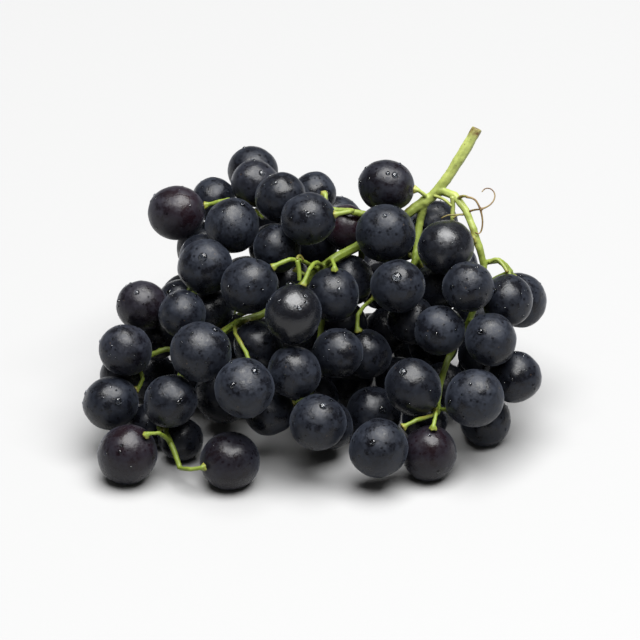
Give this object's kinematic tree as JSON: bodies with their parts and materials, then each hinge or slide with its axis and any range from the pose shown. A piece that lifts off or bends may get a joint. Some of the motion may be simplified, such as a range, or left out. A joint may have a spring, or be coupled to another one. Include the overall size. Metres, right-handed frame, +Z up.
{
  "type": "bunch of grapes",
  "caption": "Bunch of round blue-black table grapes lying on its side, with a green branching stalk, a cut peduncle and a dried tendril.",
  "frame": {"origin": "middle of the bunch's box, on the table it lies on", "axes": "+X along the bunch, from its tip to the side of the cut stalk, +Y away from the seen side, +Z up"},
  "size_m": [0.1542, 0.1152, 0.0926],
  "materials": {
    "grape_skin": "satin dark blue-black skin under a thin grey-blue bloom",
    "stalk": "satin yellow-green",
    "dried_tendril": "matte brown"
  },
  "bodies": {
    "root": {"berry_01": "grape_skin", "berry_02": "grape_skin", "berry_03": "grape_skin", "berry_04": "grape_skin", "berry_05": "grape_skin", "berry_06": "grape_skin", "berry_07": "grape_skin", "berry_08": "grape_skin", "berry_09": "grape_skin", "berry_10": "grape_skin", "berry_11": "grape_skin", "berry_12": "grape_skin", "berry_13": "grape_skin", "berry_14": "grape_skin", "berry_15": "grape_skin", "berry_16": "grape_skin", "berry_17": "grape_skin", "berry_18": "grape_skin", "berry_19": "grape_skin", "berry_20": "grape_skin", "berry_21": "grape_skin", "berry_22": "grape_skin", "berry_23": "grape_skin", "berry_24": "grape_skin", "berry_25": "grape_skin", "berry_26": "grape_skin", "berry_27": "grape_skin", "berry_28": "grape_skin", "berry_29": "grape_skin", "berry_30": "grape_skin", "berry_31": "grape_skin", "berry_32": "grape_skin", "berry_33": "grape_skin", "berry_34": "grape_skin", "berry_35": "grape_skin", "berry_36": "grape_skin", "berry_37": "grape_skin", "berry_38": "grape_skin", "berry_39": "grape_skin", "berry_40": "grape_skin", "berry_41": "grape_skin", "berry_42": "grape_skin", "berry_43": "grape_skin", "berry_44": "grape_skin", "berry_45": "grape_skin", "berry_46": "grape_skin", "berry_47": "grape_skin", "berry_48": "grape_skin", "berry_49": "grape_skin", "berry_50": "grape_skin", "berry_51": "grape_skin", "berry_52": "grape_skin", "berry_53": "grape_skin", "berry_54": "grape_skin", "berry_55": "grape_skin", "dried_tendril": "dried_tendril", "inner_berries_1": "grape_skin", "inner_berries_2": "grape_skin", "inner_berries_3": "grape_skin", "rachis": "stalk"}
  },
  "joints": []
}
